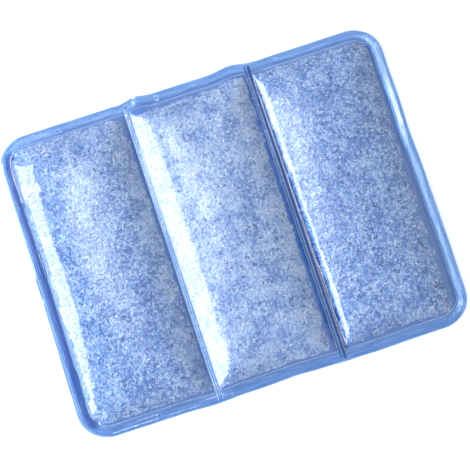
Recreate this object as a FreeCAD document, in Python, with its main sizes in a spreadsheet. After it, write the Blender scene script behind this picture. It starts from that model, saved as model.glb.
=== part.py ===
import FreeCAD, Part
import math
import os
import Sketcher

# Cooling gel pad: two clear films welded face to face round the edge and along two cross seams.
# The seams part the pad into three equal chambers, each one full of crushed gel.
# The pad lies on its back film. X runs across the chambers, Y along the seams and +Z is up.
# The origin is on the table, under the middle of the pad. All sizes are in millimetres.

drivingSizes = [
    ("pad_width", 356.0, "across the three chambers"),
    ("pad_length", 278.0, "along the seams"),
    ("corner_radius", 27.0, "outer corners of the films"),
    ("film_thickness", 0.4, "each film"),
    ("left_border", 11.0, "welded border, left edge to gel"),
    ("right_border", 8.5, "welded border, right edge to gel"),
    ("end_border", 9.5, "welded border at both ends of the chambers"),
    ("seam_width", 4.5, "welded strip between two chambers"),
    ("weld_height", 6.5, "where the films meet, above the table"),
    ("crown_height", 13.0, "top of the gel above the weld"),
    ("crown_run", 38.0, "from the weld in to the level crown"),
    ("slow_run", 54.0, "the same on the left of the outer chambers, where the gel rises slowly"),
    ("crown_fullness", 2.4, "power of the upper flank's curve"),
    ("foot_run", 24.0, "from the weld in to the flat underside"),
    ("foot_fullness", 2.2, "power of the lower flank's curve"),
    ("seam_corner", 5.0, "chamber corners beside a seam"),
    ("level_corner", 18.0, "corners of the level crown and underside"),
    ("rib_width", 0.7, "fine raised lines left by the weld bars"),
    ("rib_height", 0.3, "above the front film"),
    ("outer_rib", 2.8, "edge of the pad to the middle of its first rib"),
    ("rib_pitch", 1.8, "from one rib to the next"),
    ("least_corner", 0.5, "smallest corner that an outline keeps"),
]
borderRibs = 3
roundest = 0.9  # most that a level face's corners take of its half width
# the outlines that shape a pillow, each as a share of the way in from the weld to the level face
crownShares = [0.0, 0.07, 0.17, 0.3, 0.47, 0.7, 1.0]
footShares = [0.0, 0.12, 0.3, 0.58, 1.0]

doc = FreeCAD.newDocument("cooling_gel_pad")
sizes = doc.addObject("Spreadsheet::Sheet", "sizes")
for row, (alias, value, note) in enumerate(drivingSizes, start=1):
    sizes.set(f"A{row}", note)
    sizes.set(f"B{row}", str(value))
    sizes.setAlias(f"B{row}", alias)
doc.recompute()

# Expressions on the driving sizes, for what several pieces share
halfWidth = "sizes.pad_width / 2"
halfLength = "sizes.pad_length / 2"
chamberWidth = "((sizes.pad_width - sizes.left_border - sizes.right_border - 2 * sizes.seam_width) / 3)"
chamberPitch = f"({chamberWidth} + sizes.seam_width)"
firstChamber = f"(sizes.left_border - sizes.pad_width / 2 + {chamberWidth} / 2)"
chamberReach = "(sizes.pad_length / 2 - sizes.end_border)"
innerCorner = "max(sizes.corner_radius - sizes.end_border; sizes.seam_corner)"
footDepth = "(sizes.weld_height - sizes.film_thickness)"
ribTop = "sizes.film_thickness + sizes.rib_height"

# each chamber's corner radius on its left and on its right
chambers = {
    "left": (innerCorner, "sizes.seam_corner"),
    "middle": ("sizes.seam_corner", "sizes.seam_corner"),
    "right": ("sizes.seam_corner", innerCorner),
}
# how far in each chamber's crown begins on its left
leftRuns = {"left": "sizes.slow_run", "middle": "sizes.crown_run", "right": "sizes.slow_run"}


def newSketch(name, centre, level):
    # a level sketch whose own origin is the middle of what is drawn in it
    sketch = doc.addObject("Sketcher::SketchObject", name)
    sketch.setExpression("Placement.Base.x", centre)
    sketch.setExpression("Placement.Base.z", level)
    return sketch


def drawOutline(sketch, prefix, width, length, leftCorner, rightCorner):
    # a closed rectangle with rounded corners; width and length are half sizes, all are expressions
    half = 40.0  # drawn at this size first, then driven
    corner = 4.0
    up = FreeCAD.Vector(0, 0, 1)
    edges = []
    for quarter in range(4):
        turned = FreeCAD.Rotation(up, 90 * quarter)
        start = turned.multVec(FreeCAD.Vector(corner - half, -half, 0))
        end = turned.multVec(FreeCAD.Vector(half - corner, -half, 0))
        middle = turned.multVec(FreeCAD.Vector(half - corner, corner - half, 0))
        bend = Part.Circle(middle, up, corner)
        first = (quarter - 1) * math.pi / 2
        edges.append(sketch.addGeometry(Part.LineSegment(start, end)))
        edges.append(sketch.addGeometry(Part.ArcOfCircle(bend, first, first + math.pi / 2)))
    near, nearRight, right, farRight, far, farLeft, left, nearLeft = edges
    follows = zip(edges, edges[1:] + edges[:1])
    rules = [Sketcher.Constraint("Tangent", edge, 2, after, 1) for edge, after in follows]
    rules += [Sketcher.Constraint("Horizontal", edge) for edge in (near, far)]
    rules += [Sketcher.Constraint("Vertical", edge) for edge in (right, left)]
    rules.append(Sketcher.Constraint("Equal", nearRight, farRight))
    rules.append(Sketcher.Constraint("Equal", nearLeft, farLeft))
    sketch.addConstraint(rules)
    origin = -1
    driven = [
        ("RightCorner", Sketcher.Constraint("Radius", nearRight, corner), rightCorner),
        ("LeftCorner", Sketcher.Constraint("Radius", nearLeft, corner), leftCorner),
        ("Right", Sketcher.Constraint("DistanceX", origin, 1, right, 1, half), width),
        ("Left", Sketcher.Constraint("DistanceX", left, 1, origin, 1, half), width),
        ("Far", Sketcher.Constraint("DistanceY", origin, 1, far, 1, half), length),
        ("Near", Sketcher.Constraint("DistanceY", near, 1, origin, 1, half), length),
    ]
    for side, rule, size in driven:
        number = sketch.addConstraint(rule)
        sketch.renameConstraint(number, prefix + side)
        sketch.setExpression(f"Constraints.{prefix}{side}", size)


def chamberCentre(number):
    return f"{firstChamber} + {number} * {chamberPitch}"


def pillow(chamber, side, film=False):
    # one half of a chamber, from the weld to its level face: the gel, or the film's outside
    number = list(chambers).index(chamber)
    if side == "crown":
        toward, shares = "+", crownShares
        height, run, fullness = "sizes.crown_height", "sizes.crown_run", "sizes.crown_fullness"
        leftRun = leftRuns[chamber]
    else:
        toward, shares = "-", footShares
        height, run, fullness = footDepth, "sizes.foot_run", "sizes.foot_fullness"
        leftRun = run
    name = f"{chamber}_{'film' if film else 'gel'}_{side}"
    outlines = []
    for step, share in enumerate(shares):
        left = 1 - share
        rise = f"{height} * (1 - {left} ^ {fullness})"
        slope = f"({height} * {fullness} / {run} * {left} ^ ({fullness} - 1))"
        # the film's outside lies one thickness off the gel, square to its surface
        up = f"sizes.film_thickness / sqrt(1 + {slope} ^ 2)" if film else "0"
        out = f"{up} * {slope}"
        width = f"{chamberWidth} / 2 - ({leftRun} + {run}) / 2 * {share} + {out}"
        length = f"{chamberReach} - {run} * {share} + {out}"
        bends = []
        for corner in chambers[chamber]:
            wanted = f"{corner} * {left} + sizes.level_corner * {share} + {out}"
            bends.append(f"min({wanted}; {roundest} * ({width}))")
        level = f"sizes.weld_height {toward} ({rise} + {up})"
        centre = f"{chamberCentre(number)} + ({leftRun} - {run}) / 2 * {share}"
        sketch = newSketch(f"{name}_outline_{step}", centre, level)
        drawOutline(sketch, "edge", width, length, *bends)
        outlines.append(sketch)
    loft = doc.addObject("Part::Loft", name)
    loft.Sections = outlines
    loft.Solid = True
    loft.Ruled = False
    return loft


def insetOutline(inset="0"):
    # the pad's own outline, drawn in all round: half width, half length and the two corner radii
    corner = f"max(sizes.corner_radius - {inset}; sizes.least_corner)"
    return f"{halfWidth} - {inset}", f"{halfLength} - {inset}", corner, corner


def plate(name, base, thickness, outline, hole=None):
    # a flat piece of the given outline, with a hole where one is given
    sketch = newSketch(f"{name}_outline", "0", base)
    drawOutline(sketch, "edge", *outline)
    if hole:
        drawOutline(sketch, "hole", *hole)
    solid = doc.addObject("Part::Extrusion", name)
    solid.Base = sketch
    solid.DirMode = "Custom"
    solid.Dir = FreeCAD.Vector(0, 0, 1)
    solid.Solid = True
    solid.FaceMakerClass = "Part::FaceMakerBullseye"
    solid.setExpression("LengthFwd", thickness)
    return solid


def borderRib(number):
    # a raised line that runs all round inside the welded border
    middle = f"sizes.outer_rib + {number} * sizes.rib_pitch"
    outer = insetOutline(f"({middle} - sizes.rib_width / 2)")
    inner = insetOutline(f"({middle} + sizes.rib_width / 2)")
    return plate(f"border_rib_{number}", "sizes.weld_height", ribTop, outer, inner)


def seamRib(seam, side):
    # one of the two raised lines along a seam, from the innermost border rib to the one opposite
    reach = f"({halfLength} - sizes.outer_rib - {borderRibs - 1} * sizes.rib_pitch)"
    middle = f"{chamberCentre(seam)} + {chamberPitch} / 2 + {side} * sizes.rib_pitch / 2"
    rib = doc.addObject("Part::Box", f"seam_rib_{seam}_{'left' if side < 0 else 'right'}")
    rib.setExpression("Length", "sizes.rib_width")
    rib.setExpression("Width", f"2 * {reach}")
    rib.setExpression("Height", ribTop)
    rib.setExpression("Placement.Base.x", f"{middle} - sizes.rib_width / 2")
    rib.setExpression("Placement.Base.y", f"-{reach}")
    rib.setExpression("Placement.Base.z", "sizes.weld_height")
    return rib


def gel(chamber, crown, foot):
    # the filling of one chamber, which meets both films all over
    whole = doc.addObject("Part::Fuse", f"gel_{chamber}")
    whole.Base = crown
    whole.Tool = foot
    return whole


def sheet(name, side, base, hollows, ribs):
    # one film: its flat welded border and seams, drawn out into three thin pillows
    flat = plate(f"{name}_flat", base, "sizes.film_thickness", insetOutline())
    pillows = [pillow(chamber, side, film=True) for chamber in chambers]
    solid = doc.addObject("Part::MultiFuse", f"{name}_solid")
    solid.Shapes = [flat] + pillows + ribs
    hollow = doc.addObject("Part::Compound", f"{name}_hollow")
    hollow.Links = hollows
    whole = doc.addObject("Part::Cut", name)
    whole.Base = solid
    whole.Tool = hollow
    return whole


crowns = [pillow(chamber, "crown") for chamber in chambers]
feet = [pillow(chamber, "foot") for chamber in chambers]
pieces = [gel(*parts) for parts in zip(chambers, crowns, feet)]
ribs = [borderRib(number) for number in range(borderRibs)]
ribs += [seamRib(seam, side) for seam in (0, 1) for side in (-1, 1)]
pieces.append(sheet("front_sheet", "crown", "sizes.weld_height", crowns, ribs))
pieces.append(sheet("back_sheet", "foot", "sizes.weld_height - sizes.film_thickness", feet, []))
for piece in pieces:
    piece.Label = piece.Name
doc.recompute()

for item in doc.Objects:
    if "Invalid" in item.State or "Error" in item.State:
        raise RuntimeError(f"{item.Label} did not build: {item.State}")
for piece in pieces:
    shape = piece.Shape
    if shape.isNull() or not shape.isValid() or len(shape.Solids) != 1:
        raise RuntimeError(f"{piece.Label} is not one whole solid")

os.makedirs("parts", exist_ok=True)
for piece in pieces:
    piece.Shape.exportStep(f"parts/{piece.Label}.step")
    print(f"{piece.Label}: {piece.Shape.Volume / 1000:.1f} cubic centimetres")
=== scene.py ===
import math
import bpy
import numpy as np
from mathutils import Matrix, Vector


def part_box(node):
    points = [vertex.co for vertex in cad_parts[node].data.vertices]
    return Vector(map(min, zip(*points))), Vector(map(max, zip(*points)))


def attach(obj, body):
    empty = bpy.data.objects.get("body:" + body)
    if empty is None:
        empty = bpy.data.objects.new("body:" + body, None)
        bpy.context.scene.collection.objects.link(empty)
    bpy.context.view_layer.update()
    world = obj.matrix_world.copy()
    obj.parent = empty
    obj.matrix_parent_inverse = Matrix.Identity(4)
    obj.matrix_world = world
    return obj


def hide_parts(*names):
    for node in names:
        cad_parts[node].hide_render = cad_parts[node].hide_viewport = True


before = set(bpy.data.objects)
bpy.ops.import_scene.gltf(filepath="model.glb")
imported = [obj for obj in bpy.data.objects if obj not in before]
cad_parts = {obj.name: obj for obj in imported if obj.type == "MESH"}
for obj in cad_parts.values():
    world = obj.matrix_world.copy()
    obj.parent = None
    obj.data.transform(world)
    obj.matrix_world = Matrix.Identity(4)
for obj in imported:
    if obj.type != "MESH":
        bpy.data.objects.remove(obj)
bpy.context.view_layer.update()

# Cooling gel pad: two clear blue films welded round the edge and along two cross seams.
# Each film starts as an already domed sheet, a short cloth simulation settles it, and its rise is then scaled to
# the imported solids. Creases and mounds are added by formula. Each chamber's crushed gel fits inside.

mm = 0.001


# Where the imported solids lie

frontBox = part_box("front_sheet")
gelNodes = {"gelLeft": "gel_left", "gelMiddle": "gel_middle", "gelRight": "gel_right"}
gelBoxes = [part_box(node) for node in gelNodes.values()]

pad = {
    "halfWidth": frontBox[1][0],
    "halfLength": frontBox[1][1],
    "cornerRadius": 27 * mm,
    "weldZ": frontBox[0][2],  # where the two films meet
    "topZ": frontBox[1][2],
    "filmThickness": 0.35 * mm,
    "filmGap": 0.04 * mm,  # keeps the two films' faces from lying in one place
}
weldsX = [-pad["halfWidth"]]
for lowest, highest in gelBoxes:
    weldsX += [lowest[0], highest[0]]
weldsX.append(pad["halfWidth"])
weldsY = [-pad["halfLength"], gelBoxes[0][0][1], gelBoxes[0][1][1], pad["halfLength"]]
weldsX, weldsY = np.array(weldsX), np.array(weldsY)
chambers = list(zip(weldsX[1::2], weldsX[2::2]))


# The sheet's grid

def evenLines(edges, counts):
    # lines that divide each stretch between two edges evenly
    lines = [edges[0]]
    for low, high, count in zip(edges, edges[1:], counts):
        lines += list(np.linspace(low, high, count + 1)[1:])
    return np.array(lines)


def roundCorners(x, y):
    # turns the square rings of a grid into rings with round corners
    inX, inY = pad["halfWidth"] - np.abs(x), pad["halfLength"] - np.abs(y)
    ring = np.minimum(inX, inY)
    bend = np.maximum(pad["cornerRadius"] - ring, 1e-9)
    sideX, sideY = pad["halfWidth"] - ring, pad["halfLength"] - ring
    onSide = inX <= inY
    leg = np.where(onSide, sideY - np.abs(y), sideX - np.abs(x))
    angle = (1 - np.clip(leg / bend, 0, 1)) * math.pi / 4
    near, far = bend * np.sin(angle), bend * np.cos(angle)
    roundX = sideX - bend + np.where(onSide, far, near)
    roundY = sideY - bend + np.where(onSide, near, far)
    turned = leg < bend
    return np.where(turned, np.sign(x) * roundX, x), np.where(turned, np.sign(y) * roundY, y)


def laidFlat(linesX, linesY):
    # the points of a grid over the whole pad, before anything bends it
    x, y = roundCorners(*np.meshgrid(linesX, linesY, indexing="ij"))
    return np.stack([x, y, np.zeros_like(x)], axis=-1)


def ringDepth(linesX, linesY):
    # how far in from the pad's edge each point of the grid lies
    fromX = pad["halfWidth"] - np.abs(linesX)
    fromY = pad["halfLength"] - np.abs(linesY)
    return np.minimum(fromX[:, None], fromY[None, :])


def smoothStep(value, low, high):
    share = np.clip((value - low) / (high - low), 0, 1)
    return share * share * (3 - 2 * share)


# How the border and the seams lie

weldLay = {
    # each bulge of the border outwards: middle along the edge, half width, reach, all in mm
    "farBulges": [(-45, 9, 2.0), (43, 13, 2.5), (-5, 30, 0.7), (-60.5, 3, -0.7)],
    "nearBulges": [(-60, 16, 1.1), (14, 16, -0.9), (60, 9, 0.6), (90, 26, 0.8)],
    "leftBulges": [(-20, 50, -0.4), (85, 30, 0.5)],
    "rightBulges": [(35, 22, -0.9), (-60, 25, 0.4), (95, 14, -0.5)],
    "raisedBulges": [(-45, 9, 1.6), (43, 13, 1.6)],  # the same upwards, in the far border
    "bulgeRun": (34, 8),  # in from the edge, in mm, where a bulge starts and where it is whole
    # the border's ups and downs: height in mm, waves along the edge, phase
    "ripples": [(0.35, 3.1, 0.4), (0.3, 7.3, 2.1), (0.22, 15.7, 4.4), (0.12, 29.0, 1.3)],
    "rippling": {"left": 0.4, "right": 0.6, "far": 1.0, "near": 1.0},  # each side's share of them
    "droop": {"left": -0.9, "right": 0.2, "far": 1.3, "near": 1.5},  # of the edge below its weld, in mm
    "edgeRun": (11, 1),  # in from the edge, in mm, where ripples and droop start and where they are whole
    "cornerBlend": 7,  # in mm, where one side passes into the next
    "drifts": (-1.6, -0.6),  # of each seam sideways, from the near end to the far end, in mm
    "driftWidth": 14,
}


def bulge(place, bulges):
    return sum(reach * mm * np.exp(-((place - middle * mm) / (width * mm)) ** 2)
               for middle, width, reach in bulges)


def sideShares(x, y):
    # how much each point belongs to each side of the pad, blended round the corners
    aside = (pad["halfLength"] - np.abs(y)) - (pad["halfWidth"] - np.abs(x))
    across = smoothStep(aside, -weldLay["cornerBlend"] * mm, weldLay["cornerBlend"] * mm)
    return {"left": across * (x < 0), "right": across * (x >= 0),
            "far": (1 - across) * (y >= 0), "near": (1 - across) * (y < 0)}


def weldPlaces(flat):
    # the flat welded layout with the border's bulges and ripples and the seams' drift added
    x, y = flat[..., 0], flat[..., 1]
    halfWidth, halfLength = pad["halfWidth"], pad["halfLength"]
    starts, whole = [run * mm for run in weldLay["bulgeRun"]]
    atFar, atNear = [smoothStep(place, halfLength - starts, halfLength - whole) for place in (y, -y)]
    atRight, atLeft = [smoothStep(place, halfWidth - starts, halfWidth - whole) for place in (x, -x)]
    moved = flat.copy()
    moved[..., 1] += atFar * bulge(x, weldLay["farBulges"]) - atNear * bulge(x, weldLay["nearBulges"])
    moved[..., 0] += atRight * bulge(y, weldLay["rightBulges"]) - atLeft * bulge(y, weldLay["leftBulges"])
    for seam, drift in zip((weldsX[2:4].mean(), weldsX[4:6].mean()), weldLay["drifts"]):
        near = np.exp(-((x - seam) / (weldLay["driftWidth"] * mm)) ** 2)
        moved[..., 0] += near * drift * mm * y / (2 * halfLength)
    around = np.arctan2(y / halfLength, x / halfWidth)
    lift = sum(height * mm * np.sin(waves * around + phase) for height, waves, phase in weldLay["ripples"])
    lift += atFar * bulge(x, weldLay["raisedBulges"])
    sides = sideShares(x, y)
    lift *= sum(share * weldLay["rippling"][side] for side, share in sides.items())
    hang = sum(share * weldLay["droop"][side] for side, share in sides.items())
    starts, whole = [run * mm for run in weldLay["edgeRun"]]
    edgeShare = smoothStep(np.maximum(np.abs(x) - halfWidth, np.abs(y) - halfLength), -starts, -whole)
    moved[..., 2] += edgeShare * (lift - hang * mm)
    return moved


# Filling the films by cloth simulation

filling = {
    "size": 10.0,  # cloth behaves best at about this many times life size
    "frames": 14,
    "countsX": [3, 24, 2, 24, 2, 24, 3],  # cells across each weld and chamber
    "countsY": [3, 56, 3],
    "cloth": {
        "quality": 8, "mass": 0.15, "air_damping": 5,
        "tension_stiffness": 60, "compression_stiffness": 60, "shear_stiffness": 20, "bending_stiffness": 5,
        "tension_damping": 10, "compression_damping": 10, "shear_damping": 10, "bending_damping": 1,
        "vertex_group_mass": "held", "pin_stiffness": 1,
        "use_pressure": True, "uniform_pressure_force": 1.6, "vertex_group_pressure": "pressed",
    },
    "tableGap": 0.004,
    "tableFriction": 8,
    "tableReach": 4.0,
    "topPush": 0.15,  # how much of the push is left on a level top
    "lumps": 0.4,  # how unevenly the crushed gel presses
    "lumpSize": 27,  # in mm
    "unevenness": 0.05,  # how uneven its top is
    "levelShare": 90,  # percentage of a chamber that lies below its level top
    "smoothings": 2,
}
# The film has taken the shape of its filling. Each flank rises in a tight bend by the weld and then in a
# long curve: the bend's share of the height, how far in the bend and the curve reach in mm, the curve's power.
front = {
    "bulge": 12.6,
    "seed": 5,
    "flanks": [((-0.12, 14, 54, 1.15), (0.10, 12, 34, 2.4)),
               ((0.05, 14, 37, 2.4), (0.15, 12, 34, 2.4)),
               ((0.22, 16, 54, 1.2), (0.15, 12, 36, 2.4))],
    "ends": ((0.15, 12, 34, 2.4), (0.15, 12, 36, 2.4)),
    # A sharp turn up beside the left weld of an outer chamber, all in mm: where it starts at the near and at
    # the far end, rise and run of its steep foot, rise and run of the slope above, which shines, and its gap.
    "creases": {
        0: {"start": (0.0, 0.0), "foot": (2.6, 1.1), "slope": (2.8, 4.8), "gap": 88},
        2: {"start": (3.0, 0.4), "foot": (2.8, 1.3), "slope": (3.2, 4.5), "gap": None},
    },
    # low mounds and hollows of the gel: x, y, radius and height in mm
    "mounds": [(-118, 104, 26, 0.8), (-110, 36, 30, -0.8), (-5, -8, 30, 0.6), (-5, 62, 30, -0.5),
               (104, -30, 34, 0.5)],
}
back = {
    "bulge": 5.7,
    "seed": 6,
    "flanks": [((0.0, 9, 24, 2.2), (0.0, 9, 24, 2.2))] * 3,
    "ends": ((0.0, 9, 24, 2.2), (0.0, 9, 24, 2.2)),
    "flatten": 1.12,
    "creases": {},
    "mounds": [],
}
creaseLay = {
    "wander": [(0.9, 16, 11), (0.5, 5, 12)],  # how far a crease strays inwards: reach, size in mm, seed
    "outward": 0.5,  # how far outwards all of it lies, in mm
    "widths": (0.75, 0.5, 22, 13),  # of its slope: least, spread, size in mm, seed
    "gapWidening": 3,
    "gapReach": 4,  # along the chamber, in mm
}
coarseX = evenLines(weldsX, filling["countsX"])
coarseY = evenLines(weldsY, filling["countsY"])


def insideChambers(linesX, linesY):
    tiny = 0.01 * mm
    free = [np.any([(lines > low + tiny) & (lines < high - tiny)
                    for low, high in zip(welds[1::2], welds[2::2])], axis=0)
            for lines, welds in ((linesX, weldsX), (linesY, weldsY))]
    return free[0][:, None] & free[1][None, :]


def gridFaces(countX, countY, upward=True):
    number = np.arange(countX * countY).reshape(countX, countY)
    faces = np.stack([number[:-1, :-1], number[1:, :-1], number[1:, 1:], number[:-1, 1:]], axis=-1)
    return faces.reshape(-1, 4) if upward else faces.reshape(-1, 4)[:, ::-1]


def newObject(name, data):
    made = bpy.data.objects.new(name, data)
    bpy.context.collection.objects.link(made)
    return made


def newPiece(name, points, faces):
    mesh = bpy.data.meshes.new(name)
    mesh.from_pydata(points.reshape(-1, 3).tolist(), [], [list(map(int, face)) for face in faces])
    mesh.update()
    return newObject(name, mesh)


def pickOnly(piece):
    bpy.ops.object.select_all(action="DESELECT")
    piece.select_set(True)
    bpy.context.view_layer.objects.active = piece


def flank(away, curve):
    share, bend, run, power = curve
    return (share * (1 - (1 - np.clip(away / (bend * mm), 0, 1)) ** 2)
            + (1 - share) * (1 - (1 - np.clip(away / (run * mm), 0, 1)) ** power))


def creaseHeight(shape, number):
    crease = shape["creases"].get(number)
    return crease["foot"][0] + crease["slope"][0] if crease else 0.0


def endsShare(shape, linesY):
    near, far = shape["ends"]
    return flank(linesY - weldsY[1], near) * flank(weldsY[2] - linesY, far)


def fuller(first, second):
    # two flanks' shares together, fuller in the corners than their product
    power, least = 5, 1e-5
    inside = (first > least) & (second > least)
    first, second = np.maximum(first, least / 10), np.maximum(second, least / 10)
    return np.where(inside, (first ** -power + second ** -power - 1) ** (-1 / power), 0)


def domed(shape):
    # a pillow over each chamber, from 0 at the welds to 1 on its level top, less what its crease adds later
    dome = 0.0
    for number, (low, high) in enumerate(chambers):
        left, right = shape["flanks"][number]
        top = 1 - creaseHeight(shape, number) / shape["bulge"]
        across = flank(coarseX - low, left) * flank(high - coarseX, right)
        dome = dome + top * fuller(across[:, None], endsShare(shape, coarseY)[None, :])
    return dome


def sharpForms(shape, linesX, linesY):
    # heights too fine for the cloth's grid: the creases and the gel's low mounds
    x, y = np.meshgrid(linesX, linesY, indexing="ij")
    added = np.zeros(x.shape)
    ends = endsShare(shape, linesY)[None, :]
    for number, crease in shape["creases"].items():
        low, high = chambers[number]
        wander = sum(reach * softNoise(y, 0 * y + number, size * mm, seed)
                     for reach, size, seed in creaseLay["wander"])
        start = np.interp(y, [weldsY[1], weldsY[2]], crease["start"]) + wander - creaseLay["outward"]
        away = (x - low) / mm - np.maximum(start, 0)
        (footRise, footRun), (slopeRise, slopeRun) = crease["foot"], crease["slope"]
        least, spread, size, seed = creaseLay["widths"]
        width = slopeRun * (least + spread * softNoise(y, 0 * y + number, size * mm, seed))
        if crease["gap"] is not None:
            fromGap = (y / mm - crease["gap"]) / creaseLay["gapReach"]
            width *= 1 + creaseLay["gapWidening"] * np.exp(-fromGap ** 2)
        turned = footRise * smoothStep(away, 0, footRun) + slopeRise * np.clip((away - footRun) / width, 0, 1)
        inside = (x > low) & (x < high)
        added += inside * turned * flank(high - x, shape["flanks"][number][1]) * ends
    for middleX, middleY, radius, height in shape["mounds"]:
        apart = np.hypot(x / mm - middleX, y / mm - middleY)
        added += height * np.exp(-(apart / radius) ** 2) * insideChambers(linesX, linesY) * ends
    return added * mm


def simTable():
    # the table under the back film, raised by what lies between the cloth and the film's outer face
    reach = filling["tableReach"]
    corners = np.array([(-reach, -reach, 0), (reach, -reach, 0), (reach, reach, 0), (-reach, reach, 0)])
    corners[:, 2] = (pad["filmThickness"] + pad["filmGap"] - pad["weldZ"]) * filling["size"]
    table = newPiece("simTable", corners, [(0, 1, 2, 3)])
    pickOnly(table)
    table.modifiers.new("rest", "COLLISION")
    table.collision.thickness_outer = filling["tableGap"]
    table.collision.cloth_friction = filling["tableFriction"]
    return table


def fillFilm(name, shape, upward):
    # the film as a sheet of cloth that starts domed, held at its welds, and settles under the gel's push
    flat = laidFlat(coarseX, coarseY)
    start = weldPlaces(flat)
    free = insideChambers(coarseX, coarseY)
    dome = domed(shape)
    uneven = softNoise(flat[..., 0], flat[..., 1], filling["lumpSize"] * mm, shape["seed"])
    rough = dome * (1 + filling["unevenness"] * (uneven - 0.5)) if upward else dome
    start[..., 2] += shape["bulge"] * mm * rough * (1 if upward else -1)
    faces = gridFaces(len(coarseX), len(coarseY), upward)
    sheet = newPiece(name + "Cloth", start * filling["size"], faces)
    held = sheet.vertex_groups.new(name="held")
    held.add([int(k) for k in np.where(~free.ravel())[0]], 1.0, "REPLACE")
    pressed = sheet.vertex_groups.new(name="pressed")
    press = (1 - filling["lumps"] * uneven) * (1 - (1 - filling["topPush"]) * np.clip(dome, 0, 1))
    for k in np.where(free.ravel())[0]:
        pressed.add([int(k)], float(press.ravel()[k]), "REPLACE")
    cloth = sheet.modifiers.new("filling", "CLOTH")
    for setting, value in filling["cloth"].items():
        setattr(cloth.settings, setting, value)
    cloth.settings.effector_weights.gravity = 0
    touching = cloth.collision_settings
    touching.use_collision, touching.use_self_collision = not upward, False
    touching.distance_min = filling["tableGap"]
    cloth.point_cache.frame_start = 1
    cloth.point_cache.frame_end = filling["frames"]
    table = None if upward else simTable()
    scene = bpy.context.scene
    for step in range(1, filling["frames"] + 1):
        scene.frame_set(step)
    settled = sheet.evaluated_get(bpy.context.evaluated_depsgraph_get())
    points = np.empty(len(settled.data.vertices) * 3)
    settled.data.vertices.foreach_get("co", points)
    for spare in (sheet, table):
        if spare:
            bpy.data.objects.remove(spare, do_unlink=True)
    scene.frame_set(1)
    return points.reshape(flat.shape) / filling["size"]


# Repeatable random patterns

patterns = {
    "noiseCells": 64,  # after how many cells each pattern repeats
    "noiseShift": 500,  # in cells, off the repeat's corner
    "lumpCells": 128,
    "lumpScatter": 0.85,  # how far the lumps lie off an even grid
}


def softNoise(x, y, size, seed):
    # smooth noise from 0 to 1, with features of about the given size
    cells, shift = patterns["noiseCells"], patterns["noiseShift"]
    table = np.random.default_rng(seed).random((cells, cells))
    column, row = x / size + shift, y / size + shift
    i, j = np.floor(column).astype(int), np.floor(row).astype(int)
    u, v = column - i, row - j
    u, v = u * u * (3 - 2 * u), v * v * (3 - 2 * v)
    corners = [[table[(i + a) % cells, (j + b) % cells] for b in (0, 1)] for a in (0, 1)]
    lower = corners[0][0] * (1 - u) + corners[1][0] * u
    upper = corners[0][1] * (1 - u) + corners[1][1] * u
    return lower * (1 - v) + upper * v


def granules(x, y, size, seed):
    # crushed lumps: distance to the nearest crack, the lump's own random values and the way from its middle
    cells, scatter = patterns["lumpCells"], patterns["lumpScatter"]
    table = np.random.default_rng(seed).random((cells, cells, 6))
    i, j = np.floor(x / size).astype(int), np.floor(y / size).astype(int)
    near = second = np.full(x.shape, 9.0)
    middleX = middleY = otherX = otherY = np.zeros(x.shape)
    own = np.zeros(x.shape + (4,))
    for a in (-1, 0, 1):
        for b in (-1, 0, 1):
            random = table[(i + a) % cells, (j + b) % cells]
            spotX = i + a + 0.5 + scatter * (random[..., 0] - 0.5)
            spotY = j + b + 0.5 + scatter * (random[..., 1] - 0.5)
            gap = np.hypot(x / size - spotX, y / size - spotY)
            closer = gap < near
            between = ~closer & (gap < second)
            otherX = np.where(closer, middleX, np.where(between, spotX, otherX))
            otherY = np.where(closer, middleY, np.where(between, spotY, otherY))
            second = np.where(closer, near, np.where(between, gap, second))
            middleX, middleY = np.where(closer, spotX, middleX), np.where(closer, spotY, middleY)
            own = np.where(closer[..., None], random[..., 2:], own)
            near = np.where(closer, gap, near)
    apart = np.maximum(np.hypot(otherX - middleX, otherY - middleY), 0.05)
    crack = (second ** 2 - near ** 2) / (2 * apart) * size
    return crack, own, x - middleX * size, y - middleY * size


# From the simulated sheet to the finished surfaces

def carry(coarse, fine, welds):
    # weights that carry values from the coarse lines to the fine ones: smooth, but free to fold at each weld
    tiny = 0.001 * mm
    weights = np.zeros((len(fine), len(coarse)))
    for low, high in zip(welds, welds[1:]):
        known = np.where((coarse > low - tiny) & (coarse < high + tiny))[0]
        for k in np.where((fine > low - tiny) & (fine < high + tiny))[0]:
            at = np.clip(np.searchsorted(coarse[known], fine[k]) - 1, 0, len(known) - 2)
            t = (fine[k] - coarse[known[at]]) / (coarse[known[at + 1]] - coarse[known[at]])
            pull = [(-t + 2 * t * t - t ** 3) / 2, (2 - 5 * t * t + 3 * t ** 3) / 2,
                    (t + 4 * t * t - 3 * t ** 3) / 2, (t ** 3 - t * t) / 2]
            row = np.zeros(len(coarse))
            for step, share in enumerate(pull):
                place = at + step - 1
                if place < 0:
                    row[known[0]] += 2 * share
                    row[known[1]] -= share
                elif place >= len(known):
                    row[known[-1]] += 2 * share
                    row[known[-2]] -= share
                else:
                    row[known[place]] += share
            weights[k] = row
    return weights


# what the border and the seams do below the cloth's grid, in mm
edgeLay = {
    "rightCurl": [(0, 1.6), (1.2, 2.2), (3.2, 3.0), (7.6, 0.0), (8.5, 0.0)],  # in from the edge, height
    "leftSeamTilt": 1.0,  # how far its edges rise and sink
    "tiltRun": 5.0,
    "tiltEnds": (-2, 14),  # in from the chambers' ends, where the tilt starts and where it is whole
    # small blisters in the border that catch the light: x, y, radius, height
    "blisters": [(-117, 134, 2.4, 1.3), (-24.7, 133.7, 2.6, 1.3), (9, 134, 1.8, 0.9), (87, 135, 2.2, 1.1),
                 (-107.6, -134, 1.8, 1.0), (141, -133, 2.2, 1.2)],
}


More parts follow.
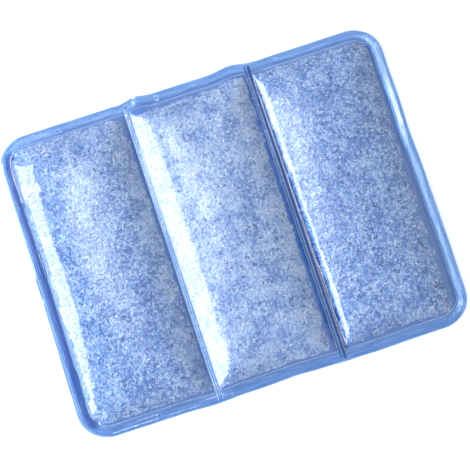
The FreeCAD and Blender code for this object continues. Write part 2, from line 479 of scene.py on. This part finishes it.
def edgeHeights(linesX, linesY):
    x, y = np.meshgrid(linesX, linesY, indexing="ij")
    ring = ringDepth(linesX, linesY) / mm
    added = sideShares(x, y)["right"] * np.interp(ring, *zip(*edgeLay["rightCurl"]))
    seam, half = weldsX[2:4].mean(), (weldsX[3] - weldsX[2]) / 2
    aside = np.abs(x - seam) - half
    fading = np.exp(-np.maximum(aside, 0) / (edgeLay["tiltRun"] * mm))
    starts, whole = edgeLay["tiltEnds"]
    ends = smoothStep(weldsY[2] - np.abs(y), starts * mm, whole * mm)
    added += edgeLay["leftSeamTilt"] * np.clip((x - seam) / half, -1, 1) * fading * ends
    for middleX, middleY, radius, height in edgeLay["blisters"]:
        added += height * np.exp(-((x / mm - middleX) ** 2 + (y / mm - middleY) ** 2) / radius ** 2)
    return added * mm


def finer(settled, shape, linesX, linesY):
    moved = settled - laidFlat(coarseX, coarseY)
    across, along = carry(coarseX, linesX, weldsX), carry(coarseY, linesY, weldsY)
    points = laidFlat(linesX, linesY) + np.einsum("ik,klc,jl->ijc", across, moved, along)
    points[..., 2] += sharpForms(shape, linesX, linesY) + edgeHeights(linesX, linesY)
    points[..., 2] = np.maximum(points[..., 2], 0)  # nothing sinks into the table
    return points


def gridNormals(points):
    across, along = np.gradient(points, axis=0), np.gradient(points, axis=1)
    normals = np.cross(across, along)
    return normals / np.maximum(np.linalg.norm(normals, axis=-1, keepdims=True), 1e-12)


smoothUpTo = 75  # degrees between two faces


def setSmooth(piece):
    pickOnly(piece)
    bpy.ops.object.shade_smooth_by_angle(angle=math.radians(smoothUpTo))


def paint(piece, name, values):
    # keeps one value for each point, for the materials
    layer = piece.data.attributes.new(name, "FLOAT", "POINT")
    layer.data.foreach_set("value", np.asarray(values, dtype=np.float32).ravel())


def applyAll(piece):
    pickOnly(piece)
    for modifier in list(piece.modifiers):
        bpy.ops.object.modifier_apply(modifier=modifier.name)


settledFront = fillFilm("frontFilm", front, True)
print("front film filled")
settledBack = fillFilm("backFilm", back, False)
print("back film filled")

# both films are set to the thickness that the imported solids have
outerFront = pad["weldZ"] + pad["filmGap"] + pad["filmThickness"]
outerBack = pad["weldZ"] - pad["filmGap"] - pad["filmThickness"]
freeCoarse = insideChambers(coarseX, coarseY)
for number, (low, high) in enumerate(chambers):
    chamber = freeCoarse & ((coarseX > low) & (coarseX < high))[:, None]
    rise = np.percentile(settledFront[..., 2][chamber], filling["levelShare"])
    wanted = pad["topZ"] - outerFront - creaseHeight(front, number) * mm
    settledFront[..., 2] = np.where(chamber, settledFront[..., 2] * wanted / rise, settledFront[..., 2])
    print(f"chamber {number}: simulated rise {rise / mm:.2f} mm, set to {wanted / mm:.2f} mm")
sink = -settledBack[..., 2][freeCoarse].min()
settledBack[..., 2] = np.where(freeCoarse, settledBack[..., 2] * outerBack / sink, settledBack[..., 2])
for settled in (settledFront, settledBack):
    for _ in range(filling["smoothings"]):
        height = settled[..., 2]
        around = (height[:-2, 1:-1] + height[2:, 1:-1] + height[1:-1, :-2] + height[1:-1, 2:]) / 4
        height[1:-1, 1:-1] += 0.5 * freeCoarse[1:-1, 1:-1] * (around - height[1:-1, 1:-1])
settledFront[..., 2] += outerFront
settledBack[..., 2] = np.maximum(settledBack[..., 2] * back["flatten"] + outerBack, 0)


# The two films

filmMake = {
    "ribs": [2.8, 4.6, 6.4],  # raised lines left by the weld bars, in from the edge, in mm
    "ribWidth": 1.0,
    "ribHeight": 0.24,
    "seamRib": 0.9,  # from the middle of a seam, in mm
    "seamEnds": (134.5, 137.5),  # from the pad's middle, in mm, where a seam's marks fade and where they end
    "softTo": 19,  # slope in degrees up to which the granules under the film make its shine soft
    "leftSoftTo": 8,  # the same in the left chamber
    "softRun": 5,
    "spacing": 1.9,  # of the lines over the chambers, in mm
    "backSpacing": 2.6,
    "closeLines": [0.7, 1.4, 2.1, 2.9, 3.9, 5.0, 6.3, 7.8, 9.6],  # in from a chamber's sides, in mm
    "edgeLines": [0, 0.35, 0.9, 1.7],  # in from the pad's edge, in mm
    "innerLines": [7.6, 9.2],  # those that lie this far before the border's end
    "leastSpacing": 0.6,
}
# how light the welded border is, from 0 to 1, at each distance in from the edge in mm
weldTones = {
    "left": [(0, 0.75), (1.7, 0.6), (2.8, 0.4), (4.2, 0.22), (5.6, -0.3), (7.0, -0.25), (8.4, 0.0), (11, 0.1)],
    "far": [(0, 0.9), (1.0, 0.64), (3.2, 0.67), (4.2, 0.87), (6.4, 0.87), (7.4, 0.57), (9.5, 0.52)],
    "near": [(0, 0.95), (0.9, 0.67), (1.7, 0.49), (2.6, 0.54), (3.6, 0.64), (9.5, 0.62)],
    # the right side's light band from 3.8 to 7 mm is a painted highlight, where the raised curl's slope also
    # mirrors the side lamp
    "right": [(0, 0.9), (0.8, 0.7), (2.6, 0.64), (3.2, 0.45), (3.8, 0.8), (7.0, 0.8), (7.8, 0.45), (8.5, 0.4)],
}
# the same across the two seams, from their left edges to their right edges; below 0 it darkens to navy
seamTones = [
    [(-2.25, 1.0), (-1.4, 1.0), (-1.1, 0.2), (-0.7, 0.2), (-0.4, 0.9),
     (0.4, 0.9), (0.7, 0.2), (1.1, 0.2), (1.4, 1.0), (2.25, 1.0)],
    [(-2.25, 0.1), (-1.4, 0.1), (-1.1, 0.3), (-0.7, 0.9), (-0.4, 0.9), (0.4, 0.1), (0.7, -0.3), (2.25, -0.45)],
]


def ribLines(middles):
    foot, top = filmMake["ribWidth"] / 2, filmMake["ribWidth"] / 5
    return [middle + side for middle in middles for side in (-foot, -top, top, foot)]


def ribShare(away):
    # from 0 beside a raised line to 1 on top of it, at a distance in mm from its middle
    return 1 - smoothStep(np.abs(away), filmMake["ribWidth"] / 5, filmMake["ribWidth"] / 2)


def filmLines(welds, spacing):
    # close lines along the ribs and by the welds, even ones over the chambers
    close = np.array(filmMake["closeLines"]) * mm
    seamLines = np.array(ribLines([-filmMake["seamRib"], filmMake["seamRib"]])) * mm
    lines = []
    for number, (low, high) in enumerate(zip(welds, welds[1:])):
        if number % 2:
            first, last = low + close[-1], high - close[-1]
            count = round((last - first) / (spacing * mm))
            lines += [low, *(low + close), *np.linspace(first, last, count + 1), *(high - close), high]
        elif number in (0, len(welds) - 2):
            end = (high - low) / mm - filmMake["leastSpacing"]
            inside = filmMake["edgeLines"] + ribLines(filmMake["ribs"])
            inside = np.array(inside + [place for place in filmMake["innerLines"] if place < end]) * mm
            lines += list(low + inside) if number == 0 else list(high - inside)
        else:
            lines += list((low + high) / 2 + seamLines)
    return np.unique(np.round(lines, 7))


def makeFilm(name, settled, shape, spacing, upward):
    linesX, linesY = filmLines(weldsX, spacing), filmLines(weldsY, spacing)
    points = finer(settled, shape, linesX, linesY)
    normals = gridNormals(points)
    x, y = np.meshgrid(linesX, linesY, indexing="ij")
    ring = ringDepth(linesX, linesY) / mm
    rib = np.max([ribShare(ring - middle) for middle in filmMake["ribs"]], axis=0)
    sides = sideShares(x, y)
    tone = sum(sides[side] * np.interp(ring, *zip(*tones)) for side, tones in weldTones.items())
    marked = 1 - smoothStep(np.abs(y) / mm, *filmMake["seamEnds"])
    for number, (low, high) in enumerate(zip(weldsX[2:-1:2], weldsX[3:-1:2])):
        aside = (x - (low + high) / 2) / mm
        inSeam = (np.abs(aside) < (high - low) / 2 / mm + 0.01) * marked
        tone = tone * (1 - inSeam) + inSeam * np.interp(aside, *zip(*seamTones[number]))
        # the left seam has two raised lines, the right one only its left one
        ribAside = np.abs(aside) if number == 0 else -aside
        rib = np.maximum(rib, ribShare(ribAside - filmMake["seamRib"]) * marked)
    if upward:
        points = points + normals * (rib * filmMake["ribHeight"] * mm)[..., None]
    piece = newPiece(name, points, gridFaces(len(linesX), len(linesY), upward))
    free = insideChambers(linesX, linesY)
    slope = np.degrees(np.arccos(np.clip(np.abs(normals[..., 2]), 0, 1)))
    softTo = np.where(linesX[:, None] < weldsX[2], filmMake["leftSoftTo"], filmMake["softTo"])
    paint(piece, "weld", ~free)
    paint(piece, "crown", free * (1 - smoothStep(slope, softTo - filmMake["softRun"], softTo)))
    paint(piece, "rib", rib)
    paint(piece, "tone", tone)
    # how far along the border and how far in from its edge, for its streaks
    flow = np.zeros(points.shape)
    onSide = pad["halfWidth"] - np.abs(linesX)[:, None] < pad["halfLength"] - np.abs(linesY)[None, :]
    flow[..., 0] = np.where(onSide, linesY[None, :], 1 + linesX[:, None])
    flow[..., 1] = ring * mm
    layer = piece.data.attributes.new("flow", "FLOAT_VECTOR", "POINT")
    layer.data.foreach_set("vector", flow.astype(np.float32).ravel())
    wall = piece.modifiers.new("wall", "SOLIDIFY")
    wall.thickness = pad["filmThickness"]
    wall.offset = -1
    wall.use_even_offset = False
    applyAll(piece)
    setSmooth(piece)
    return piece


frontFilm = makeFilm("frontFilm", settledFront, front, filmMake["spacing"], True)
backFilm = makeFilm("backFilm", settledBack, back, filmMake["backSpacing"], False)
print("films made:", len(frontFilm.data.polygons), len(backFilm.data.polygons), "faces")


# The crushed gel

gelMake = {
    "topCounts": (160, 376),  # cells across and along a chamber, both even
    "clearance": 0.08,  # under the film, in mm
    "inset": 0.7,  # in from the welds, in mm
    "seeds": (40, 90),  # of the patterns on top and underneath
    "seedStep": 7,  # from one chamber to the next
    "lump": 4.2,  # sizes of the granules and of their chips, in mm
    "chip": 2.3,
    "warp": 1.3,  # how crooked their sides are, and over what size, in mm
    "warpSize": 2.1,
    "crackWidth": 1.1,  # widths and depths in mm
    "crackDepth": 0.35,
    "chipWidth": 0.77,
    "chipDepth": 0.2,
    "tilt": 0.14,
    "chipTilt": 0.18,
    "drop": 0.2,  # how much deeper one granule lies than another, in mm
    "leastDepth": 0.05,
    "rimCells": 4,  # cells over which all this fades out at the rim
    "pressedShare": 0.7,  # how much of it is lost in a smooth patch, and in clear fluid
    "clearShare": 0.85,
    "frost": [0.0, 0.8, 0.0],  # painted sheen: how much pale colour each chamber's gel gets in place of the film's haze of reflected light
    "sheenPatch": (-120, 100, 36, 46, 0.5),  # one more patch of painted sheen: x, y, reaches in mm, how strong
    "flankLight": [0.6, 0.4, 0.0],  # and how much painted light on its right flank, which faces away from the side lamp
    "flankLightPlace": (13, 9),  # in from the right weld, and its reach, in mm
    # patches pressed smooth against the film: x, y, half width, half length in mm
    "smoothPatches": [(-62, -103, 6, 16), (8, -100, 13, 10), (-18, 103, 5, 5), (152, 96, 6, 5)],
    # small bubbles caught under the film: x, y, radius in mm
    "bubbles": [(-17.9, 102.8, 3.0), (-16.9, 29.0, 2.8), (68.4, -111.3, 2.2)],
    "bubbleRing": 0.7,
    "ragged": [(3.4, 6, 71), (2.2, 2.3, 72)],  # the clear fluid's edge: reach and size in mm, seed
    "evenTone": 0.25,  # how light the fluid looks where no tones are given
    # how wide the clear fluid beside each weld is, in mm: at its near or left end, at its far or right end
    "fluid": [
        {"left": (0.6, 0.6), "right": (2.0, 4.0), "far": (2.0, 2.6), "near": (3.0, 3.0)},
        {"left": (0.8, 0.8), "right": (6.0, 3.8), "far": (7.0, 2.4), "near": (2.6, 3.2)},
        {"left": (4.0, 1.2), "right": (9.0, 4.8), "far": (2.6, 3.2), "near": (4.4, 3.0)},
    ],
    # how light that fluid looks, from 0 to 1, at each distance from the weld in mm, where it isn't even
    "fluidTones": {
        (0, "right"): [(0, 0.25), (1.5, 0.45), (4, 0.5)],
        (1, "right"): [(0, 0.0), (2.0, 0.15), (6, 0.3)],
        (2, "left"): [(0, -0.6), (4, -0.6)],
        (2, "right"): [(0, 0.2), (0.6, 0.9), (2.2, 0.9), (2.8, 0.0), (3.6, 0.1), (4.6, 0.45)],
        (1, "far"): [(0, 0.3), (4, 0.2), (7, 0.1)],
    },
}


def gelSurface(settled, shape, number, countX, countY, upward):
    # the filling's smooth surface, just inside the film
    lowX, highX = chambers[number]
    inset = gelMake["inset"] * mm
    linesX = np.linspace(lowX + inset, highX - inset, countX + 1)
    linesY = np.linspace(weldsY[1] + inset, weldsY[2] - inset, countY + 1)
    points = finer(settled, shape, linesX, linesY)
    normals = gridNormals(points) * (1 if upward else -1)
    points -= normals * (pad["filmThickness"] + gelMake["clearance"] * mm)
    flat = laidFlat(linesX, linesY)
    return points, normals, flat[..., 0], flat[..., 1]


def fluid(number, x, y):
    # where the gel's granules don't reach a chamber's edges and only clear fluid lies, and how light it looks
    low, high = np.array(chambers[number]) / mm
    end = weldsY[2] / mm
    ragged = sum(reach * (softNoise(x, y, size * mm, seed) - 0.5) for reach, size, seed in gelMake["ragged"])
    placeX, placeY = x / mm, y / mm
    share, light = np.zeros(x.shape), np.full(x.shape, gelMake["evenTone"])
    distances = {"left": placeX - low, "right": high - placeX, "far": end - placeY, "near": placeY + end}
    for side, away in distances.items():
        along = placeY if side in ("left", "right") else placeX - (low + high) / 2
        reach = end if side in ("left", "right") else (high - low) / 2
        width = np.interp(along, [-reach, reach], gelMake["fluid"][number][side])
        strayed = away + ragged * np.minimum(width / 4, 1)
        share = np.maximum(share, 1 - smoothStep(strayed, width - 0.5, width + 0.5))
        tones = gelMake["fluidTones"].get((number, side))
        if tones:
            near = 1 - smoothStep(away, width - 1, width + 2)
            light = light * (1 - near) + near * np.interp(away, *zip(*tones))
    return share, light


def smoothPatches(placeX, placeY):
    away = [((placeX - middleX) / halfX) ** 2 + ((placeY - middleY) / halfY) ** 2
            for middleX, middleY, halfX, halfY in gelMake["smoothPatches"]]
    return np.exp(-np.min(away, axis=0) ** 1.5)


# pale rings round the bubbles, painted highlights on their rims
def bubbleRings(placeX, placeY):
    away = [np.abs(np.hypot(placeX - middleX, placeY - middleY) - radius)
            for middleX, middleY, radius in gelMake["bubbles"]]
    return np.exp(-(np.min(away, axis=0) / gelMake["bubbleRing"]) ** 2)


# painted sheen and light: how pale the gel is painted where the film's haze of reflected light shows and on
# right flanks turned away from the side lamp
def paintedSheenShare(number, placeX, placeY):
    middleX, middleY, reachX, reachY, most = gelMake["sheenPatch"]
    inset, reach = gelMake["flankLightPlace"]
    right = chambers[number][1] / mm
    patch = most * np.exp(-((placeX - middleX) / reachX) ** 2 - ((placeY - middleY) / reachY) ** 2)
    # painted light on the right flank, which faces away from the side lamp
    onFlank = gelMake["flankLight"][number] * np.exp(-((right - placeX - inset) / reach) ** 2)
    return gelMake["frost"][number] + patch + onFlank


def tilted(own, asideX, asideY):
    return 2 * ((own[..., 0] - 0.5) * asideX + (own[..., 1] - 0.5) * asideY)


def crushed(points, normals, x, y, number, seed):
    # cracks, tilted faces and steps of the crushed gel, all pressed in from the smooth surface
    warp, warpSize = gelMake["warp"] * mm, gelMake["warpSize"] * mm
    warpX = x + warp * (softNoise(x, y, warpSize, seed) - 0.5)
    warpY = y + warp * (softNoise(x, y, warpSize, seed + 1) - 0.5)
    crack, own, asideX, asideY = granules(warpX, warpY, gelMake["lump"] * mm, seed + 2)
    chip, chipOwn, chipX, chipY = granules(warpX, warpY, gelMake["chip"] * mm, seed + 3)
    cracked = (1 - smoothStep(crack, 0, gelMake["crackWidth"] * mm)) * (0.5 + 0.5 * own[..., 3])
    chipped = (1 - smoothStep(chip, 0, gelMake["chipWidth"] * mm)) * chipOwn[..., 2]
    tilt = gelMake["tilt"] * tilted(own, asideX, asideY) + gelMake["chipTilt"] * tilted(chipOwn, chipX, chipY)
    depth = gelMake["crackDepth"] * mm * cracked + gelMake["chipDepth"] * mm * chipped
    depth += gelMake["drop"] * mm * own[..., 2] + tilt + gelMake["leastDepth"] * mm
    placeX, placeY = points[..., 0] / mm, points[..., 1] / mm
    pressed = smoothPatches(placeX, placeY)
    depth *= 1 - gelMake["pressedShare"] * pressed
    rim = np.ones(x.shape)
    for k in range(gelMake["rimCells"]):
        for edge in (np.s_[k, :], np.s_[-1 - k, :], np.s_[:, k], np.s_[:, -1 - k]):
            rim[edge] = np.minimum(rim[edge], k / gelMake["rimCells"])
    clear, clearLight = fluid(number, x, y)
    depth = np.maximum(depth, 0) * rim * (1 - gelMake["clearShare"] * clear)
    values = {"frost": paintedSheenShare(number, placeX, placeY), "crack": crack / mm, "chip": chip / mm,
              "shade": own[..., 2], "fleck": own[..., 3], "chipShade": chipOwn[..., 3], "pressed": pressed,
              "bubble": bubbleRings(placeX, placeY), "clear": clear, "clearLight": clearLight}
    return points - normals * depth[..., None], values


def makeGel(name, number):
    countX, countY = gelMake["topCounts"]
    halfX, halfY = countX // 2, countY // 2
    topSeed, lowSeed = [seed + gelMake["seedStep"] * number for seed in gelMake["seeds"]]
    topForm = gelSurface(settledFront, front, number, countX, countY, True)
    lowForm = gelSurface(settledBack, back, number, halfX, halfY, False)
    top, topValues = crushed(*topForm, number, topSeed)
    low, lowValues = crushed(*lowForm, number, lowSeed)
    lowValues["bubble"][:] = 0
    topNumber = np.arange(top[..., 0].size).reshape(top.shape[:2])
    lowNumber = topNumber.size + np.arange(low[..., 0].size).reshape(low.shape[:2])
    faces = [tuple(face) for face in gridFaces(countX + 1, countY + 1)]
    faces += [tuple(face + topNumber.size) for face in gridFaces(halfX + 1, halfY + 1, False)]
    # the side between the two: one lower edge for each two upper ones
    upper, lower = [np.concatenate([grid[:-1, 0], grid[-1, :-1], grid[:0:-1, -1], grid[0, :0:-1]])
                    for grid in (topNumber, lowNumber)]
    for k in range(len(lower)):
        after = (k + 1) % len(lower)
        faces.append((lower[k], lower[after], upper[(2 * k + 2) % len(upper)], upper[2 * k + 1], upper[2 * k]))
    piece = newPiece(name, np.concatenate([top.reshape(-1, 3), low.reshape(-1, 3)]), faces)
    for value, places in topValues.items():
        paint(piece, value, np.concatenate([places.ravel(), lowValues[value].ravel()]))
    setSmooth(piece)
    return piece


gelPieces = [makeGel(name, number) for number, name in enumerate(gelNodes)]
print("gel made:", [len(piece.data.polygons) for piece in gelPieces], "faces")


# Materials

def newMaterial(name):
    material = bpy.data.materials.new(name)
    material.use_nodes = True
    material.node_tree.nodes.clear()
    return material, material.node_tree


def addNode(tree, kind, **values):
    # a node with its settings, socket values and links: names with an underscore in front are sockets
    node = tree.nodes.new("ShaderNode" + kind)
    for key, value in values.items():
        if not key.startswith("_"):
            setattr(node, key, value)
    for key, value in values.items():
        if key.startswith("_"):
            socket = node.inputs[int(key[1:]) if key[1:].isdigit() else key[1:].replace("_", " ")]
            if isinstance(value, bpy.types.NodeSocket):
                tree.links.new(value, socket)
            else:
                socket.default_value = value
    return node


def readValues(tree, names):
    return [addNode(tree, "Attribute", attribute_name=name).outputs["Fac"] for name in names.split()]


def calculate(operation, first, second=0.0, third=0.0, clamp=False):
    return addNode(first.id_data, "Math", operation=operation, use_clamp=clamp,
                   _0=first, _1=second, _2=third).outputs[0]


def times(first, second):
    return calculate("MULTIPLY", first, second)


def larger(first, second):
    return calculate("MAXIMUM", first, second)


def remap(value, low, high, newLow=0.0, newHigh=1.0, smooth=True):
    return addNode(value.id_data, "MapRange", interpolation_type="SMOOTHSTEP" if smooth else "LINEAR",
                   _Value=value, _From_Min=low, _From_Max=high, _To_Min=newLow, _To_Max=newHigh).outputs[0]


def noise(place, scale, detail, distortion=0.0):
    return addNode(place.id_data, "TexNoise", _Vector=place, _Scale=scale, _Detail=detail,
                   _Distortion=distortion).outputs["Fac"]


def glossy(roughness, normal):
    return addNode(normal.id_data, "BsdfGlossy", _Color=(1, 1, 1, 1), _Roughness=roughness,
                   _Normal=normal).outputs[0]


def blendColours(share, first, second):
    return addNode(share.id_data, "Mix", data_type="RGBA", _0=share, _6=first, _7=second).outputs[2]


def bumped(look, heights):
    return addNode(heights.id_data, "Bump", _Strength=look["bump"], _Distance=look["bumpDepth"],
                   _Height=heights).outputs[0]


filmLook = {
    "pillowTint": (0.865, 0.925, 0.985, 1),
    "weldNavy": (0.20, 0.40, 0.72, 1),
    "weldDark": (0.36, 0.56, 0.78, 1),
    "weldLight": (0.75, 0.85, 0.965, 1),
    "ribTint": (0.50, 0.65, 0.88, 1),
    "ribShare": 0.3,
    "streakScale": (45, 420, 1),  # along the border, in from its edge
    "streakNoise": (1.0, 2.0, 0.5),  # scale, detail and distortion
    "streaks": (0.35, 0.68, -0.10, 0.12),  # their range, and how much that darkens and lightens
    "grain": (300.0, 2.0),
    "grainHeights": (1.3, 0.06),  # what a crown adds to it, and its height everywhere
    "streakHeight": 0.14,
    "bump": 0.25,
    "bumpDepth": 0.0008,
    "ior": 1.6,
    "roughness": 0.06,
    "haze": 0.27,
}


def makeFilmMaterial(name):
    material, tree = newMaterial(name)
    place = addNode(tree, "TexCoord").outputs["Object"]
    weld, rib, tone, crown = readValues(tree, "weld rib tone crown")
    flow = addNode(tree, "Attribute", attribute_name="flow").outputs["Vector"]
    stretched = addNode(tree, "Mapping", _Vector=flow, _Scale=filmLook["streakScale"]).outputs[0]
    streaks = noise(stretched, *filmLook["streakNoise"])
    varied = calculate("ADD", tone, remap(streaks, *filmLook["streaks"]))
    lightShare = calculate("MAXIMUM", varied, 0.0, clamp=True)
    navyShare = calculate("MULTIPLY", varied, -1.0, clamp=True)
    welds = blendColours(lightShare, filmLook["weldDark"], filmLook["weldLight"])
    welds = blendColours(navyShare, welds, filmLook["weldNavy"])
    tint = blendColours(weld, filmLook["pillowTint"], welds)
    tinted = blendColours(times(rib, filmLook["ribShare"]), tint, filmLook["ribTint"])
    clear = addNode(tree, "BsdfTransparent", _Color=tinted).outputs[0]
    grain = noise(place, *filmLook["grain"])
    pressed = times(grain, calculate("MULTIPLY_ADD", crown, *filmLook["grainHeights"]))
    welded = times(streaks, times(weld, filmLook["streakHeight"]))
    pushed = bumped(filmLook, calculate("ADD", pressed, welded))
    sharp, soft = glossy(filmLook["roughness"], pushed), glossy(filmLook["haze"], pushed)
    gloss = addNode(tree, "MixShader", _0=crown, _1=sharp, _2=soft).outputs[0]
    # the light goes straight through both faces, so the far face mirrors no more than the near one
    behind = addNode(tree, "NewGeometry").outputs["Backfacing"]
    ior = remap(behind, 0.0, 1.0, filmLook["ior"], 1 / filmLook["ior"], smooth=False)
    fresnel = addNode(tree, "Fresnel", _IOR=ior).outputs[0]
    mixed = addNode(tree, "MixShader", _0=fresnel, _1=clear, _2=gloss).outputs[0]
    addNode(tree, "OutputMaterial", _Surface=mixed)
    return material


gelLook = {
    # deep blue of the painted shade between granules
    "paintedShade": (0.035, 0.09, 0.30, 1),
    "dark": (0.045, 0.185, 0.54, 1),
    "body": (0.115, 0.30, 0.68, 1),
    "light": (0.31, 0.49, 0.82, 1),
    # white of the painted highlights on granule and chip edges, wisps, spots and bubble rims
    "edge": (0.95, 0.95, 0.98, 1),
    # pale colour of the painted sheen and painted light
    "frost": (0.64, 0.69, 0.88, 1),
    "navy": (0.015, 0.05, 0.22, 1),
    "fluidDark": (0.02, 0.16, 0.55, 1),
    "fluidLight": (0.17, 0.42, 0.90, 1),
    "roughness": 0.22,
    "ior": 1.4,
    "chipShare": 0.40,  # how much a chip and a granule each lighten or darken the gel
    "lumpShare": 0.22,
    "sheenClouds": 0.5,
    "wispMiddle": 0.52,  # the level along which the white wisps run
    "darkShare": 0.75,
    "bump": 0.4,
    "bumpDepth": 0.0003,
}
# scale, detail and distortion of each pattern
gelPatterns = {
    "patches": (62.0, 1.0),
    "clouds": (330.0, 3.0, 0.8),
    "wisps": (260.0, 2.0, 1.6),
    "spots": (480.0, 1.0, 0.4),
    "fine": (900.0, 2.0),
}
# between which two values of a pattern each effect comes in, and its own two values where they aren't 0 and 1
gelRanges = {
    "cloudShade": (0.3, 0.7, -0.35, 0.55),
    "patchShade": (0.3, 0.7, -0.22, 0.22),
    "darkToBody": (-0.1, 0.45),
    "bodyToLight": (0.35, 0.95),
    "sheenMottle": (0.55, 0.95, 0.15, 0.75),
    "crackHighlight": (0.42, 0.18),
    "crackClouds": (0.42, 0.56),
    "chipHighlight": (0.30, 0.12),
    "chipsWithEdge": (0.45, 0.80),
    "wispLine": (0.032, 0.010),
    "wispClouds": (0.40, 0.60, 0.4, 1.0),
    "palePatches": (0.35, 0.62, 0.45, 1.0),
    "spots": (0.625, 0.68),
    "pressedPale": (0.0, 1.0, 1.0, 0.25),
    "darkChips": (0.16, 0.10),
    "darkChipClouds": (0.52, 0.44),
    "darkLumps": (0.90, 0.94),
    "darkLumpClouds": (0.50, 0.42),
    "navyToDark": (-0.5, 0.0),
}


def ranged(value, effect):
    return remap(value, *gelRanges[effect])


def makeGelMaterial(name):
    material, tree = newMaterial(name)
    place = addNode(tree, "TexCoord").outputs["Object"]
    crack, chip, shade, fleck, chipShade = readValues(tree, "crack chip shade fleck chipShade")
    pressed, bubble, clear, clearLight, frost = readValues(tree, "pressed bubble clear clearLight frost")
    patches, clouds, wisps, spots, fine = [noise(place, *values) for values in gelPatterns.values()]
    shades = calculate("MULTIPLY_ADD", chipShade, gelLook["chipShare"], times(shade, gelLook["lumpShare"]))
    shades = calculate("ADD", shades, ranged(clouds, "cloudShade"))
    shades = calculate("ADD", shades, ranged(patches, "patchShade"))
    body = blendColours(ranged(shades, "darkToBody"), gelLook["dark"], gelLook["body"])
    body = blendColours(ranged(shades, "bodyToLight"), body, gelLook["light"])
    # pale painted sheen and light, mottled by the clouds
    sheenMottle = calculate("ADD", patches, times(clouds, gelLook["sheenClouds"]))
    body = blendColours(times(frost, ranged(sheenMottle, "sheenMottle")), body, gelLook["frost"])
    # painted highlights: white where light catches the edges of granules and chips, on wisps and spots, and
    # round the bubbles' rims
    edge = times(ranged(crack, "crackHighlight"), ranged(clouds, "crackClouds"))
    chipHighlight = times(ranged(chip, "chipHighlight"), ranged(chipShade, "chipsWithEdge"))
    fromWisp = calculate("ABSOLUTE", calculate("SUBTRACT", wisps, gelLook["wispMiddle"]))
    wisp = times(ranged(fromWisp, "wispLine"), ranged(clouds, "wispClouds"))
    paintedHighlight = times(larger(larger(edge, chipHighlight), wisp), ranged(patches, "palePatches"))
    paintedHighlight = times(larger(paintedHighlight, ranged(spots, "spots")), ranged(pressed, "pressedPale"))
    highlighted = blendColours(larger(paintedHighlight, bubble), body, gelLook["edge"])
    # painted shade: chips and granules picked at random take the deep blue of shade between granules
    darkChip = times(ranged(chipShade, "darkChips"), ranged(clouds, "darkChipClouds"))
    darkLump = times(ranged(fleck, "darkLumps"), ranged(clouds, "darkLumpClouds"))
    darkShare = times(larger(darkChip, darkLump), gelLook["darkShare"])
    granular = blendColours(darkShare, highlighted, gelLook["paintedShade"])
    # the clear fluid beside the welds
    fluidLow = blendColours(ranged(clearLight, "navyToDark"), gelLook["navy"], gelLook["fluidDark"])
    fluidShare = remap(clearLight, 0.0, 1.0, smooth=False)
    fluidColour = blendColours(fluidShare, fluidLow, gelLook["fluidLight"])
    coloured = blendColours(clear, granular, fluidColour)
    surface = addNode(tree, "BsdfPrincipled", _Base_Color=coloured, _Roughness=gelLook["roughness"],
                      _IOR=gelLook["ior"], _Normal=bumped(gelLook, fine)).outputs[0]
    addNode(tree, "OutputMaterial", _Surface=surface)
    return material


filmMaterial = makeFilmMaterial("clearFilm")
gelMaterial = makeGelMaterial("crushedGel")
for piece in (frontFilm, backFilm):
    piece.data.materials.append(filmMaterial)
for piece in gelPieces:
    piece.data.materials.append(gelMaterial)


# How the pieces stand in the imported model

for piece, node in ((frontFilm, "front_sheet"), (backFilm, "back_sheet")):
    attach(piece, "root")
    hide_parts(node)
for piece, node in zip(gelPieces, gelNodes.values()):
    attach(piece, "root")
    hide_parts(node)


# Table, light and camera

studio = {
    "floorReach": 3.0,
    "floorDrop": 0.02,  # below the pad, in mm
    "floorColour": (0.86, 0.86, 0.86, 1),
    "floorGlow": 0.55,
    "worldLight": 0.44,
}


def showsWhite(tree):
    # where the camera, a reflection or glass looks at the background
    path = addNode(tree, "LightPath")
    seen = larger(path.outputs["Is Camera Ray"], path.outputs["Is Transmission Ray"])
    return larger(seen, path.outputs["Is Glossy Ray"])


floorMaterial, floorTree = newMaterial("paleFloor")
matt = addNode(floorTree, "BsdfDiffuse", _Color=studio["floorColour"]).outputs[0]
strength = times(showsWhite(floorTree), studio["floorGlow"])
glow = addNode(floorTree, "Emission", _Color=(1, 1, 1, 1), _Strength=strength).outputs[0]
both = addNode(floorTree, "AddShader", _0=matt, _1=glow).outputs[0]
addNode(floorTree, "OutputMaterial", _Surface=both)
bpy.ops.object.select_all(action="DESELECT")
bpy.ops.mesh.primitive_plane_add(size=2 * studio["floorReach"], location=(0, 0, -studio["floorDrop"] * mm))
floor = bpy.context.object
floor.name = "floor"
floor.data.materials.append(floorMaterial)

world = bpy.data.worlds.new("studio")
bpy.context.scene.world = world
world.use_nodes = True
world.node_tree.nodes.clear()
ambient = calculate("MULTIPLY_ADD", showsWhite(world.node_tree),
                    1 - studio["worldLight"], studio["worldLight"])
sky = addNode(world.node_tree, "Background", _Color=(1, 1, 1, 1), _Strength=ambient).outputs[0]
addNode(world.node_tree, "OutputWorld", _Surface=sky)

lamps = {
    "sideBox": {"place": (-1.35, 0.15, 0.75), "size": (1.7, 1.35), "power": 38},
    "farBox": {"place": (-0.35, 0.36, 1.6), "size": (0.40, 0.24), "power": 2.6},
    "glintLamp": {"place": (-0.38, 0.36, 1.55), "size": (0.1, 0.1), "power": 0.7},
}
for name, lamp in lamps.items():
    light = bpy.data.lights.new(name, "AREA")
    light.shape = "RECTANGLE"
    light.size, light.size_y = lamp["size"]
    light.energy = lamp["power"]
    holder = newObject(name, light)
    holder.location = lamp["place"]
    holder.rotation_euler = (-Vector(lamp["place"])).to_track_quat("-Z", "Y").to_euler()

view = {"place": (-0.0115, -0.0759, 0.8851), "turn": (4.681, 0.647, -18.091), "lens": 76.6, "sensor": 36}
camera = bpy.data.cameras.new("camera")
camera.lens = view["lens"]
camera.sensor_width = view["sensor"]
cameraHolder = newObject("camera", camera)
cameraHolder.location = view["place"]
cameraHolder.rotation_euler = [math.radians(angle) for angle in view["turn"]]
bpy.context.scene.camera = cameraHolder
bpy.context.scene.view_settings.view_transform = "Standard"
